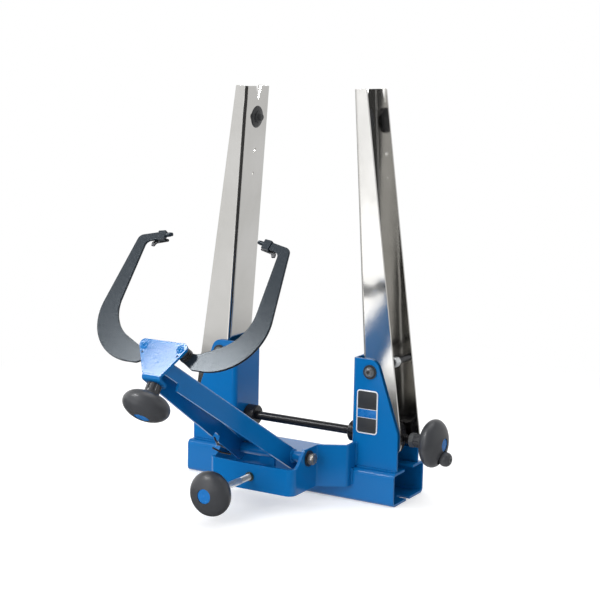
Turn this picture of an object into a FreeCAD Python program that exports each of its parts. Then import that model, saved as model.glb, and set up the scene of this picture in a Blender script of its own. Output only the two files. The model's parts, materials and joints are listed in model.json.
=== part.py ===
import FreeCAD
import Part
import math
import os

# Bicycle wheel truing stand, in millimetres.
# X runs across the stand (the crank is on +X), Y runs back, Z is up.
# The origin is the middle of the underside of the base tube.

# base: a rectangular steel tube lying along X
baseLength = 314.0
baseDepth = 88.0
baseHeight = 43.4
baseWall = 3.2
baseCorner = 6.5
baseNotchWidth = 25.0
benchSlotWidth = 10.0
benchSlotDepth = 16.0

# towers: folded channels welded on the base, open to the outside
towerFace = 88.3
towerHalfWidth = 32.5
towerTop = 185.3
towerSheet = 3.6
towerBend = 6.5
towerFoot = 155.0
towerKnee = 92.0

# uprights: plated channels that pivot between the tower flanges
uprightLean = 3.9
pivotX = 113.75
pivotZ = 169.0
uprightHalfWidth = 28.6
uprightSheet = 2.8
uprightBend = 4.5
uprightRise = 356.0
uprightDrop = 107.5
webOffset = 11.84
flangeTopReach = 6.0
flangeTaper = 0.0717
notchWidth = 13.0
notchDepth = 18.0
adapterHole = 29.0
adapterHeight = 315.5
pivotBolt = 8.0
runningGap = 0.06

# spindle: one rod with opposite threads at its two ends
spindleZ = 80.3
rodRadius = 5.75
collarRadius = 13.5
collarLength = 16.0
nutFlangeX = 143.0
nutFlangeRadius = 19.5
nutBodyRadius = 14.0
nutWaistRadius = 8.5
jamNutX = 158.4
crankHubX = 164.6
crankRadius = 31.0
gripOffset = 18.4
gripPocket = 8.4

# arm bracket: one bent strip in front of the base
bracketFront = 135.0
bracketHalfWidth = 62.0
bracketSheet = 4.0
bracketBottom = 21.0
bracketWallTop = 55.0
bracketEarTop = 75.5
bracketTab = 97.0
wingStart = -74.4
wingEnd = -54.5
armPivotY = -95.0
armPivotZ = 62.4
armBolt = 4.0
armBoltHead = 7.2
armWasher = 1.8
armWasherRadius = 10.2
pivotTubeRadius = 7.0

# caliper arm: a tapered channel, open underneath
armSlope = 32.0
armTop = 10.5
armDepth = 26.0
armSheet = 2.6
armRoot = 13.0
armRootHalf = 39.4
armTaper = 0.0847
armLength = 290.5
armStep = 257.9
armStepHeight = 9.0
armNotchStart = 66.2
armNotchEnd = 86.2

# return spring: a coil round the pivot tube, in the arm's own frame
springWire = 1.2
springRadius = 9.0
springPitch = 2.7
springTurns = 4
springStart = -54.2

# head: a plate across the end of the arm, with the two caliper pivots
# levels are heights along the head's own Z, which stands square on the plate
headSlope = 53.0
headY = -318.9
headZ = 229.7
headGap = 5.5
headSheet = 3.5
headFront = -40.0
headNeck = 12.2
headFlange = 10.6
headBend = 5.0
headFlangeDrop = 12.5
headHalfWidth = 32.0
headBack = 8.5
headPin = 3.0
pinHead = 4.8
headNutHeight = 5.0

# calipers: two curved blades with a grooved ring above the root and a forked tail
caliperPivot = 24.5
caliperLevel = -6.6
caliperSheet = 3.2
caliperOpen = 9.3
caliperBoss = 8.4
stackRadius = 8.0
stackGroove = 1.4
lowerRing = 2.7
tailLength = 18.6
tailHalf = 5.0
forkDepth = 12.5
forkHalf = 2.35

# caliper screw: a knob under the head that draws a slider along
knobAxisN = -4.0
caliperScrewRadius = 3.0
caliperKnobStart = -41.5
sliderLever = 16.0
sliderPin = 2.0

# radial screw: a knob at the front that pushes the arm's lever
radialZ = 38.5
radialScrew = 4.0
tipRadius = 5.0
leverTilt = 6.0
tipGap = 0.5

# knobs
knobRadius = 28.0
knobNeck = 8.8
knobNeckLength = 9.5
knobRim = 26.0
knobCrown = 16.0
insertRadius = 9.0
crankInsertRadius = 8.2

xAxis = FreeCAD.Vector(1, 0, 0)
yAxis = FreeCAD.Vector(0, 1, 0)
zAxis = FreeCAD.Vector(0, 0, 1)


def vec(x, y, z):
    return FreeCAD.Vector(x, y, z)


def box(x0, x1, y0, y1, z0, z1):
    return Part.makeBox(x1 - x0, y1 - y0, z1 - z0, vec(x0, y0, z0))


def rod(radius, start, end):
    return Part.makeCylinder(radius, (end - start).Length, start, end - start)


def ring(outer, inner, start, end):
    return rod(outer, start, end).cut(rod(inner, start, end))


def outline(corners):
    """Closed wire in the XY plane; each corner is (x, y, rounding radius)."""
    count = len(corners)
    cuts = []
    for i in range(count):
        x, y, radius = corners[i]
        here = vec(x, y, 0)
        before = vec(corners[i - 1][0], corners[i - 1][1], 0) - here
        after = vec(corners[(i + 1) % count][0], corners[(i + 1) % count][1], 0) - here
        before.normalize()
        after.normalize()
        half = before.getAngle(after) / 2
        if radius == 0:
            cuts.append((here, None, here))
            continue
        reach = radius / math.tan(half)
        middle = before + after
        middle.normalize()
        bulge = here + middle * (radius / math.sin(half) - radius)
        cuts.append((here + before * reach, bulge, here + after * reach))
    edges = []
    for i in range(count):
        start, bulge, end = cuts[i]
        if bulge is not None:
            edges.append(Part.Arc(start, bulge, end).toShape())
        following = cuts[(i + 1) % count][0]
        if (following - end).Length > 1e-6:
            edges.append(Part.LineSegment(end, following).toShape())
    return Part.Wire(edges)


def plate(corners, bottom, top):
    """Rounded outline in X and Y, thickened from bottom to top in Z."""
    face = Part.Face(outline(corners))
    solid = face.extrude(vec(0, 0, top - bottom))
    solid.translate(vec(0, 0, bottom))
    return solid


def sidePlate(corners, halfWidth):
    """Rounded outline in X and Z, thickened both ways along Y."""
    solid = plate(corners, -halfWidth, halfWidth)
    solid.rotate(vec(0, 0, 0), xAxis, 90)
    return solid


def crossPlate(corners, start, end):
    """Rounded outline in Y and Z, thickened along X."""
    solid = plate(corners, start, end)
    solid.rotate(vec(0, 0, 0), zAxis, 90)
    solid.rotate(vec(0, 0, 0), yAxis, 90)
    return solid


def turned(points, origin, direction):
    """Body of revolution; points are (radius, distance along the axis)."""
    wire = Part.makePolygon([vec(r, h, 0) for r, h in points] + [vec(points[0][0], points[0][1], 0)])
    return aimed(Part.Face(wire).revolve(vec(0, 0, 0), yAxis, 360), origin, direction)


def aimed(solid, origin, direction):
    solid.Placement = FreeCAD.Placement(origin, FreeCAD.Rotation(yAxis, direction)).multiply(solid.Placement)
    return solid


def hexPrism(flats, start, end):
    circle = flats / math.sqrt(3)
    points = [vec(circle * math.cos(math.radians(60 * k)), 0, circle * math.sin(math.radians(60 * k)))
              for k in range(7)]
    length = (end - start).Length
    solid = Part.Face(Part.makePolygon(points)).extrude(vec(0, length, 0))
    return aimed(solid, start, end - start)


def hexNut(flats, bore, start, end):
    """Hex nut with its corners turned down at both ends."""
    length = (end - start).Length
    crown = flats * 0.58
    trim = turned([(0, 0), (flats * 0.5, 0), (crown, length * 0.12), (crown, length * 0.88),
                   (flats * 0.5, length), (0, length)], start, end - start)
    nut = hexPrism(flats, start, end).common(trim)
    if bore:
        nut = nut.cut(rod(bore, start, end))
    return nut


def buttonScrew(headRadius, headHeight, socket, shank, length, seat, direction):
    """Domed socket screw: the head stands on seat, the shank runs along direction."""
    unit = vec(direction.x, direction.y, direction.z)
    unit.normalize()
    head = turned([(0, 0), (headRadius, 0), (headRadius * 0.96, headHeight * 0.35),
                   (headRadius * 0.6, headHeight), (0, headHeight)], seat, unit * -1)
    head = head.cut(hexPrism(socket, seat - unit * headHeight * 0.35, seat - unit * (headHeight + 1)))
    return head.fuse(rod(shank, seat, seat + unit * length))


def toHead(solid):
    """From the head's own frame: X across, Y up the caliper plane, Z out of it."""
    place = FreeCAD.Placement(vec(0, headY, headZ), FreeCAD.Rotation(xAxis, headSlope))
    solid.Placement = place.multiply(solid.Placement)
    return solid


def toArm(solid):
    """From the arm's own frame: X across, -Y along the arm, Z out of its web."""
    place = FreeCAD.Placement(vec(0, armPivotY, armPivotZ), FreeCAD.Rotation(xAxis, -armSlope))
    solid.Placement = place.multiply(solid.Placement)
    return solid


def toUpright(solid):
    """From the right upright's own frame, with its pivot at the origin."""
    place = FreeCAD.Placement(vec(pivotX, 0, pivotZ), FreeCAD.Rotation(yAxis, -uprightLean))
    solid.Placement = place.multiply(solid.Placement)
    return solid


def mirrored(solid):
    return solid.mirror(vec(0, 0, 0), xAxis)


def bothSides(solid):
    return Part.makeCompound([solid, mirrored(solid)])


def save(name, shape):
    shape.exportStep("parts/" + name + ".step")


def saveBoth(name, shape):
    save(name + "_right", shape)
    save(name + "_left", mirrored(shape))


# ---- base and towers

def baseTube():
    y = baseDepth / 2
    outer = [(-y, 0, baseCorner), (y, 0, baseCorner), (y, baseHeight, baseCorner), (-y, baseHeight, baseCorner)]
    w = baseWall
    r = baseCorner - w
    inner = [(w - y, w, r), (y - w, w, r), (y - w, baseHeight - w, r), (w - y, baseHeight - w, r)]
    half = baseLength / 2
    tube = crossPlate(outer, -half, half).cut(crossPlate(inner, -half, half))
    n = baseNotchWidth / 2
    s = benchSlotWidth / 2
    inside = towerFace + towerSheet + 4
    notch = plate([(inside, -n, 4), (half + 5, -n, 0), (half + 5, n, 0), (inside, n, 4)],
                  baseHeight / 2, baseHeight + 1)
    slotEnd = half - benchSlotDepth
    slot = plate([(slotEnd, -s, s), (half + 5, -s, 0), (half + 5, s, 0), (slotEnd, s, s)],
                 -1, baseHeight / 2)
    for cutter in (notch, slot):
        tube = tube.cut(cutter).cut(mirrored(cutter))
    return tube


def channel(face, halfWidth, reach, sheet, bend, bottom, top):
    """Folded channel along Z: its web faces -X at face, its flanges run to reach."""
    w = halfWidth
    t = sheet
    section = [(face, -w, bend), (reach, -w, 0), (reach, t - w, 0), (face + t, t - w, bend - t),
               (face + t, w - t, bend - t), (reach, w - t, 0), (reach, w, 0), (face, w, bend)]
    return plate(section, bottom, top)


def tower():
    side = [(towerFace, baseHeight, 0), (towerFoot, baseHeight, 0), (towerFoot, towerKnee, 10),
            (towerFoot - 32.5, towerTop, 14), (towerFace, towerTop, 2)]
    body = channel(towerFace, towerHalfWidth, towerFoot + 5, towerSheet, towerBend, baseHeight, towerTop)
    body = body.common(sidePlate(side, towerHalfWidth + 1))
    body = body.cut(rod(rodRadius + 0.08, vec(towerFace - 1, 0, spindleZ), vec(towerFace + 9, 0, spindleZ)))
    return body.cut(rod(pivotBolt / 2, vec(pivotX, -40, pivotZ), vec(pivotX, 40, pivotZ)))


def pivotBolts():
    reach = towerHalfWidth + 1.6
    front = buttonScrew(6.85, 4.2, 5.0, pivotBolt / 2, 14.0, vec(pivotX, -reach, pivotZ), yAxis)
    back = buttonScrew(6.85, 4.2, 5.0, pivotBolt / 2, 14.0, vec(pivotX, reach, pivotZ), yAxis * -1)
    return Part.makeCompound([front, back, mirrored(front), mirrored(back)])


def pivotWashers():
    inner = towerHalfWidth
    outer = towerHalfWidth + 1.6
    front = ring(9.25, pivotBolt / 2, vec(pivotX, -inner, pivotZ), vec(pivotX, -outer, pivotZ))
    back = ring(9.25, pivotBolt / 2, vec(pivotX, inner, pivotZ), vec(pivotX, outer, pivotZ))
    return Part.makeCompound([front, back, mirrored(front), mirrored(back)])


# ---- uprights

def upright():
    reach = flangeTopReach + flangeTaper * (uprightRise + uprightDrop)
    side = [(-webOffset, -uprightDrop, 2), (reach, -uprightDrop, 15),
            (flangeTopReach, uprightRise, 2), (-webOffset, uprightRise, 0)]
    body = channel(-webOffset, uprightHalfWidth, reach + 5, uprightSheet, uprightBend, -uprightDrop, uprightRise)
    body = body.common(sidePlate(side, uprightHalfWidth + 1))
    web0 = -webOffset - 1
    web1 = -webOffset + uprightSheet + 0.3
    n = notchWidth / 2
    low = uprightRise - notchDepth
    notch = crossPlate([(-n - 0.7, uprightRise + 2, 0), (-0.8, low, 0.75), (0.8, low, 0.75),
                        (n + 0.7, uprightRise + 2, 0)], web0, web1)
    body = body.cut(notch)
    for height, radius in ((adapterHeight, adapterHole / 2), (272.0, 3.25), (241.0, 1.75)):
        body = body.cut(rod(radius, vec(web0, 0, height), vec(web1, 0, height)))
    level = (spindleZ - pivotZ) / math.cos(math.radians(uprightLean))
    w = nutWaistRadius + 0.5
    slot = crossPlate([(-w, level - 11.5, w), (w, level - 11.5, w),
                       (w, level + 11.5, w), (-w, level + 11.5, w)], web0, web1)
    body = body.cut(slot)
    hole = pivotBolt / 2 + runningGap
    return toUpright(body.cut(rod(hole, vec(0, -40, 0), vec(0, 40, 0))))


def axleAdapter():
    """Stepped black bush held in the round hole near the top of the upright."""
    face = -webOffset
    r = adapterHole / 2
    body = turned([(0, -8.0), (4.0, -8.0), (4.6, -7.4), (4.6, -4.6), (8.0, -3.6), (8.0, -2.0), (r - 1.5, -1.2),
                   (r, 0.0), (r, uprightSheet), (r + 1.6, uprightSheet), (r + 1.6, uprightSheet + 2.4),
                   (r - 3, uprightSheet + 3.4), (0, uprightSheet + 3.4)], vec(face, 0, adapterHeight), xAxis)
    return toUpright(body)


def crossRod():
    inner = uprightHalfWidth - uprightSheet
    return toUpright(rod(4.2, vec(26, -inner, 11), vec(26, inner, 11)))


def crossNut():
    inner = uprightHalfWidth - uprightSheet
    return toUpright(hexNut(11.5, 4.2, vec(26, -inner + 6, 11), vec(26, -inner + 18, 11)))


# ---- spindle

def spindleRod():
    return turned([(0, -156), (rodRadius - 1, -156), (rodRadius, -155), (rodRadius, 190), (0, 190)],
                  vec(0, 0, spindleZ), xAxis)


def collar():
    inner = towerFace - collarLength - 0.3
    outer = towerFace - 0.3
    r = collarRadius
    body = turned([(rodRadius, inner), (r - 1.2, inner), (r, inner + 1.2), (r, outer - 1.2), (r - 1.2, outer),
                   (rodRadius, outer)], vec(0, 0, spindleZ), xAxis)
    middle = (inner + outer) / 2
    return body.cut(rod(3.0, vec(middle, 0, spindleZ), vec(middle, -20, spindleZ)))


def collarScrew():
    middle = towerFace - 0.3 - collarLength / 2
    screw = rod(3.0, vec(middle, -rodRadius, spindleZ), vec(middle, -collarRadius + 0.8, spindleZ))
    socket = hexPrism(3.0, vec(middle, -collarRadius + 4, spindleZ), vec(middle, -collarRadius - 1, spindleZ))
    return screw.cut(socket)


def spindleNut():
    """Flanged nut; the upright's web rides on its waist between two domed faces."""
    webX = pivotX + (pivotZ - spindleZ) * math.tan(math.radians(uprightLean))
    webX = webX - (webOffset - uprightSheet / 2) / math.cos(math.radians(uprightLean))
    side = uprightSheet / 2 + 1.0
    body = turned([(rodRadius + 0.08, webX - side - 6.5), (11.0, webX - side - 6.5), (12.0, webX - side - 5.0),
                   (12.0, webX - side - 2.6), (nutWaistRadius, webX - side), (nutWaistRadius, webX + side),
                   (nutBodyRadius, webX + side + 2.8), (nutBodyRadius, nutFlangeX - 6), (16.0, nutFlangeX - 6),
                   (16.0, nutFlangeX - 4), (nutFlangeRadius, nutFlangeX - 4), (nutFlangeRadius, nutFlangeX - 0.8),
                   (nutFlangeRadius - 0.8, nutFlangeX), (rodRadius + 0.08, nutFlangeX)],
                  vec(0, 0, spindleZ), xAxis)
    return body


def jamNut():
    return hexNut(17.0, rodRadius, vec(jamNutX, 0, spindleZ), vec(crankHubX, 0, spindleZ))


# ---- knobs

def knob(radius, insert, bore, depth, origin, direction):
    """Mushroom knob: fluted neck at origin, hollowed back, domed crown with a round recess."""
    rim = knobRim
    crown = knobCrown
    recess = insert + 0.3
    crownEdge = rim + crown * math.sqrt(1 - (recess / radius) ** 2)
    flare = knobNeck + 3.5
    back = rim - knobNeckLength - 3.5
    front = Part.Arc(Part.Ellipse(vec(0, rim, 0), radius, crown), 0, math.acos(recess / radius)).toShape()
    bowl = Part.Arc(Part.Ellipse(vec(flare, rim, 0), radius - flare, back), 1.5 * math.pi, 2 * math.pi).toShape()
    a = vec(0, 0, 0)
    b = vec(knobNeck, 0, 0)
    c = vec(knobNeck, knobNeckLength, 0)
    d = vec(flare, rim - back, 0)
    bend = vec(knobNeck + 1.02, rim - back - 1.02, 0)
    e = vec(recess, crownEdge, 0)
    f = vec(recess, crownEdge - 1.8, 0)
    g = vec(0, crownEdge - 1.8, 0)
    edges = [Part.LineSegment(a, b).toShape(), Part.LineSegment(b, c).toShape(),
             Part.Arc(c, bend, d).toShape(), bowl, front, Part.LineSegment(e, f).toShape(),
             Part.LineSegment(f, g).toShape(), Part.LineSegment(g, a).toShape()]
    solid = Part.Face(Part.Wire(Part.sortEdges(edges)[0])).revolve(vec(0, 0, 0), yAxis, 360)
    for k in range(8):
        angle = math.radians(45 * k)
        flute = rod(2.1, vec((knobNeck + 0.9) * math.cos(angle), -1, (knobNeck + 0.9) * math.sin(angle)),
                    vec((knobNeck + 0.9) * math.cos(angle), knobNeckLength - 1.5,
                        (knobNeck + 0.9) * math.sin(angle)))
        solid = solid.cut(flute)
    solid = solid.cut(rod(bore, vec(0, -1, 0), vec(0, depth, 0)))
    return aimed(solid, origin, direction)


def knobInsert(radius, insert, origin, direction):
    floor = knobRim + knobCrown * math.sqrt(1 - ((insert + 0.3) / radius) ** 2) - 1.8
    return turned([(0, floor), (insert, floor), (insert, floor + 0.9), (0, floor + 1.4)], origin, direction)


def crankKnob():
    """Knob on the end of the rod, scooped out beside its middle for the grip."""
    body = knob(crankRadius, crankInsertRadius, rodRadius, 190 - crankHubX, vec(crankHubX, 0, spindleZ), xAxis)
    seat = gripSeat()
    z = spindleZ - gripOffset
    body = body.cut(rod(gripPocket, vec(seat, 0, z), vec(seat + 20, 0, z)))
    body = body.cut(rod(gripPocket + 2, vec(seat + 9.4, 0, z), vec(seat + 20, 0, z)))
    return body.cut(rod(3.0, vec(crankHubX + 18, 0, z), vec(seat + 1, 0, z)))


def gripSeat():
    """X of the floor of the pocket that carries the grip."""
    return crankHubX + knobRim


def gripPin():
    seat = gripSeat()
    z = spindleZ - gripOffset
    pin = rod(3.0, vec(crankHubX + 18, 0, z), vec(seat + 22.4, 0, z))
    collarRing = rod(5.2, vec(seat, 0, z), vec(seat + 1.6, 0, z))
    head = rod(4.3, vec(seat + 22.4, 0, z), vec(seat + 24.6, 0, z))
    socket = hexPrism(4.0, vec(seat + 23.0, 0, z), vec(seat + 26, 0, z))
    return pin.fuse([collarRing, head]).cut(socket)


def crankGrip():
    seat = gripSeat() + 1.9
    profile = [(3.08, 0), (5.3, 0), (5.6, 5.0), (6.2, 8.6), (8.0, 10.4), (9.1, 12.6), (9.4, 15.2), (9.1, 17.8),
               (7.9, 20.2), (5.9, 22.0), (4.7, 22.5), (4.7, 20.2), (3.08, 20.2)]
    return turned(profile, vec(seat, 0, spindleZ - gripOffset), xAxis)


# ---- arm bracket and radial screw

def armBracket():
    """Hat-shaped strip: front wall, two side walls with pivot ears, two wings and two tabs."""
    t = bracketSheet
    w = bracketHalfWidth
    f = bracketFront
    tab = bracketTab
    end = -towerHalfWidth - 0.2
    slope = (wingEnd - wingStart) / (tab - w)
    back = t * (math.sqrt(1 + slope ** 2) - slope)
    right = [(w, -f, 10), (w, wingStart, 4), (tab, wingEnd, 7), (tab, end, 0), (tab - t, end, 0),
             (tab - t, wingEnd + back, 3), (w - t, wingStart + back, 8), (w - t, -f + t, 6)]
    left = [(-x, y, r) for x, y, r in reversed(right)]
    strip = plate(right + left, bracketBottom, bracketEarTop)
    rise = [(-f - 5, bracketWallTop, 0), (-f + 13, bracketWallTop, 14), (-f + 31, bracketEarTop, 12),
            (-f + 31, bracketEarTop + 5, 0), (-f - 5, bracketEarTop + 5, 0)]
    strip = strip.cut(crossPlate(rise, -w - 1, w + 1))
    strip = strip.cut(box(-110, 110, -baseDepth / 2, 0, 0, baseHeight))
    pivot = rod(armBolt + 0.05, vec(-70, armPivotY, armPivotZ), vec(70, armPivotY, armPivotZ))
    bush = rod(5.8, vec(0, -f - 1, radialZ), vec(0, -f + t + 1, radialZ))
    return strip.cut(pivot).cut(bush)


def armPivotBolt():
    x = bracketHalfWidth + armWasher
    shank = rod(armBolt, vec(-x - 11, armPivotY, armPivotZ), vec(x, armPivotY, armPivotZ))
    head = hexNut(13.0, 0, vec(x, armPivotY, armPivotZ), vec(x + armBoltHead, armPivotY, armPivotZ))
    return shank.fuse(head)


def armPivotWashers():
    x = bracketHalfWidth
    right = ring(armWasherRadius, armBolt, vec(x, armPivotY, armPivotZ), vec(x + armWasher, armPivotY, armPivotZ))
    return bothSides(right)


def armPivotNut():
    x = -bracketHalfWidth - armWasher
    return hexNut(13.0, armBolt, vec(x - armBoltHead, armPivotY, armPivotZ), vec(x, armPivotY, armPivotZ))


def radialBush():
    f = bracketFront
    return turned([(radialScrew + 0.06, -2.6), (4.9, -2.6), (6.0, -1.6), (6.0, 0), (5.8, 0), (5.8, bracketSheet + 6),
                   (radialScrew + 0.06, bracketSheet + 6)], vec(0, -f, radialZ), yAxis)


def tipReach():
    """Y of the tip of the radial screw, just short of the arm's lever."""
    tilt = math.radians(leverTilt)
    return armPivotY + (armPivotZ - radialZ) * math.tan(tilt) - tipRadius / math.cos(tilt) - tipGap


def radialTip():
    """Round-nosed cap that presses on the lever and doesn't turn with the screw."""
    y = tipReach()
    shaft = rod(tipRadius, vec(0, y - 11, radialZ), vec(0, y, radialZ))
    nose = Part.makeSphere(tipRadius, vec(0, y, radialZ))
    return shaft.fuse(nose).cut(rod(2.56, vec(0, y - 12, radialZ), vec(0, y - 3, radialZ)))


def radialScrewRod():
    y = tipReach() - 11.3
    start = -bracketFront - 98
    r = radialScrew
    points = [(0, start), (r + 0.3, start), (r + 0.3, -159), (r, -158.6), (r, y - 1), (r - 0.8, y), (2.5, y),
              (2.5, y + 8.0), (0, y + 8.0)]
    return turned(points, vec(0, 0, radialZ), yAxis)


def radialKnobOrigin():
    return vec(0, -198.5, radialZ)


# ---- caliper arm

def armHalf(distance):
    return armRootHalf - armTaper * distance


def caliperArm():
    """Channel that tapers toward the head, with its open side down."""
    t = armSheet
    sections = []
    for s in (-armRoot - 1, armLength):
        h = armHalf(s)
        b = armTop - armDepth
        corners = [(-h, b, 0), (t - h, b, 0), (t - h, armTop - t, 1.4), (h - t, armTop - t, 1.4), (h - t, b, 0),
                   (h, b, 0), (h, armTop, 4), (-h, armTop, 4)]
        wire = outline(corners)
        wire.rotate(vec(0, 0, 0), xAxis, 90)
        wire.translate(vec(0, -s, 0))
        sections.append(wire)
    body = Part.makeLoft(sections, True, True)
    wide = armRootHalf + 5
    b = armTop - armDepth
    s = armNotchStart
    e = armNotchEnd
    f = armLength + 1
    step = b + armStepHeight
    side = [(armRoot, b + 6, 8), (armRoot, 3, 3), (armRoot - 5.5, armTop + 1, 0), (-f, armTop + 1, 0),
            (-f, step, 0), (-armStep, step, 2), (-armStep, b, 2), (armRoot - 6, b, 8)]
    notch = [(-e, b - 1, 0), (-e + 3, b + 7, 1.5), (-s - 3, b + 7, 1.5), (-s, b - 1, 0)]
    body = body.common(crossPlate(side, -wide, wide))
    body = body.cut(crossPlate(notch, -wide, 0))
    cap = plate([(-wide, -40, 0), (wide, -40, 0), (wide, 10, 0), (-wide, 10, 0)], -headGap - 60, headGap)
    cap = toHead(cap)
    body = toArm(body)
    body = body.common(cap.fuse(box(-wide, wide, -300, 0, 0, 400)))
    body = body.cut(rod(pivotTubeRadius, vec(-60, armPivotY, armPivotZ), vec(60, armPivotY, armPivotZ)))
    passage = toHead(rod(caliperScrewRadius + 0.6, vec(0, -45, knobAxisN), vec(0, 20, knobAxisN)))
    return body.cut(passage)


def pivotTube():
    x = bracketHalfWidth - bracketSheet - 0.3
    return ring(pivotTubeRadius, armBolt + runningGap, vec(-x, armPivotY, armPivotZ), vec(x, armPivotY, armPivotZ))


def armLever():
    """Plate under the pivot tube that the radial screw pushes."""
    lever = plate([(-11, -30, 4), (11, -30, 4), (11, 0, 0), (-11, 0, 0)], 0, 3.2)
    lever.rotate(vec(0, 0, 0), xAxis, 90)
    lever.translate(vec(0, 3.2, 0))
    lever.rotate(vec(0, 0, 0), xAxis, leverTilt)
    lever.translate(vec(0, armPivotY, armPivotZ))
    return lever.cut(rod(pivotTubeRadius, vec(-60, armPivotY, armPivotZ), vec(60, armPivotY, armPivotZ)))


def springCoil():
    """Helix of round wire round the pivot tube."""
    steps = 10
    points = []
    for k in range(springTurns * steps + 1):
        angle = 2 * math.pi * k / steps
        points.append(vec(springStart + springPitch * k / steps, springRadius * math.sin(angle),
                          -springRadius * math.cos(angle)))
    path = Part.BSplineCurve()
    path.interpolate(points)
    section = Part.Wire(Part.makeCircle(springWire, points[0], path.tangent(path.FirstParameter)[0]))
    return Part.Wire(path.toShape()).makePipeShell([section], True, True)


def wireLeg(points):
    """Straight pieces of wire through the points, rounded at the bends."""
    legs = [rod(springWire, p, q) for p, q in zip(points, points[1:])]
    bends = [Part.makeSphere(springWire, p) for p in points[1:-1]]
    return legs[0].fuse(legs[1:] + bends)


def returnSpring():
    """Coil with the leg that hooks the arm."""
    foot = vec(springStart + springPitch * springTurns, 0, -springRadius)
    leg = wireLeg([foot, vec(-37.0, -59.2, -16.8), vec(-31.0, -73.2, -17.1), vec(-31.0, -79.2, -14.3)])
    return toArm(springCoil().fuse([leg, Part.makeSphere(springWire, foot)]))


# ---- head

def headPlate():
    """Top plate with its front edge folded down to carry the caliper screw."""
    w = headFlange
    n = headNeck
    x = headHalfWidth
    front = headFront
    inner = front + headSheet
    bend = front + headBend
    under = headGap
    over = headGap + headSheet
    low = knobAxisN - headFlangeDrop
    top = plate([(-n, bend, 0), (n, bend, 0), (x, 0.5, 2), (x, headBack, 6), (-x, headBack, 6), (-x, 0.5, 2)],
                under, over)
    fold = [(front, low, 0), (inner, low, 0), (inner, under, headBend - headSheet - 0.1), (bend, under, 0),
            (bend, over, 0), (front, over, headBend - 0.1)]
    apron = [(-w, low, w - 1), (w, low, w - 1), (n, under, 0), (n, over + 1, 0), (-n, over + 1, 0), (-n, under, 0)]
    body = top.fuse(crossPlate(fold, -n, n).common(sidePlate(apron, 60))).removeSplitter()
    for side in (-1, 1):
        body = body.cut(rod(headPin, vec(side * caliperPivot, 0, 0), vec(side * caliperPivot, 0, 20)))
        body = body.cut(rod(1.3, vec(side * 24, -8.3, 0), vec(side * 24, -8.3, 20)))
    hole = rod(caliperScrewRadius + 0.08, vec(0, front - 5, knobAxisN), vec(0, bend, knobAxisN))
    return toHead(body.cut(hole))


def nutSeat():
    """Level of the nuts under the calipers, a little below the lower rings."""
    return caliperLevel - caliperSheet / 2 - lowerRing - 0.3


def headScrews():
    top = headGap + headSheet
    length = top - nutSeat() + headNutHeight + 1.5
    screw = buttonScrew(pinHead, 1.6, 2.4, headPin, length, vec(caliperPivot, 0, top), zAxis * -1)
    return toHead(bothSides(screw))


def headNuts():
    seat = nutSeat()
    nut = hexNut(10.0, headPin, vec(caliperPivot, 0, seat - headNutHeight), vec(caliperPivot, 0, seat))
    return toHead(bothSides(nut))


def screwWasher():
    return toHead(ring(6.0, caliperScrewRadius + 0.08, vec(0, headFront - 1.2, knobAxisN),
                       vec(0, headFront, knobAxisN)))


# ---- calipers

def caliperBlade():
    """Blade of the right caliper in the head's own frame."""
    h = caliperSheet / 2
    blade = plate([(72, 157, 1), (105.6, 148.9, 8), (125.3, -16.4, 64.9), (38.4, -16.4, 6), (21.5, -7.2, 0),
                   (24.5, 3.9, 0), (40, 3.9, 18), (93.9, 29.5, 52), (92.6, 141.5, 7), (72, 147.2, 1)], -h, h)
    boss = rod(caliperBoss, vec(caliperPivot, 0, -h), vec(caliperPivot, 0, h))
    tail = box(-tailLength, 0, -tailHalf, tailHalf, -h, h)
    fork = box(-tailLength - 2, -forkDepth, -forkHalf, forkHalf, -h, h)
    fork = fork.fuse(rod(forkHalf, vec(-forkDepth, 0, -h), vec(-forkDepth, 0, h)))
    for piece in (tail, fork):
        piece.rotate(vec(0, 0, 0), zAxis, -caliperOpen)
        piece.translate(vec(caliperPivot, 0, 0))
    body = blade.fuse([boss, tail]).removeSplitter().cut(fork)
    body = body.cut(rod(headPin + runningGap, vec(caliperPivot, 0, -h), vec(caliperPivot, 0, h)))
    body.translate(vec(0, 0, caliperLevel))
    return body


def caliper():
    return toHead(caliperBlade())


def caliperWashers():
    """Black grooved stack above the root of the caliper and a ring below it."""
    bore = headPin + runningGap
    w = stackRadius
    g = w - stackGroove
    low = caliperLevel + caliperSheet / 2
    high = headGap - 0.3
    step = (high - low) / 5
    points = [(bore, low)]
    for k, r in enumerate((w, g, w, g, w)):
        points += [(r, low + k * step), (r, low + (k + 1) * step)]
    upper = turned(points + [(bore, high)], vec(caliperPivot, 0, 0), zAxis)
    seat = caliperLevel - caliperSheet / 2
    lower = ring(w - 1, bore, vec(caliperPivot, 0, seat), vec(caliperPivot, 0, seat - lowerRing))
    return toHead(Part.makeCompound([upper, lower]))


def feelerBlock():
    """Block over the end of the caliper, with a stepped round nose toward the rim."""
    low = caliperLevel - 2.8
    high = caliperLevel + 2.8
    body = plate([(69.7, 158.0, 0.8), (80.0, 156.3, 0.8), (77.7, 144.4, 0.8), (68.0, 146.0, 0.8)], low, high)
    nose = turned([(0, 0), (2.7, 0), (2.7, 8.2), (2.3, 8.6), (2.3, 10.4), (1.7, 11.1), (0, 11.1)],
                  vec(71.0, 152.2, caliperLevel), vec(-11.8, 2.6, 0))
    return toHead(body.fuse(nose).removeSplitter().cut(caliperBlade()))


def feelerStrip():
    """Thin strip under the caliper tip, with a small hooked end."""
    high = caliperLevel - 2.8
    strip = plate([(65.5, 149.5, 1.5), (64.5, 146.4, 1.5), (80.5, 142.2, 1.5), (82.6, 137.6, 1), (86.8, 138.2, 1),
                   (86.8, 143.5, 3), (80.0, 147.5, 3)], high - 1.8, high)
    return toHead(strip)


# ---- caliper screw

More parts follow.
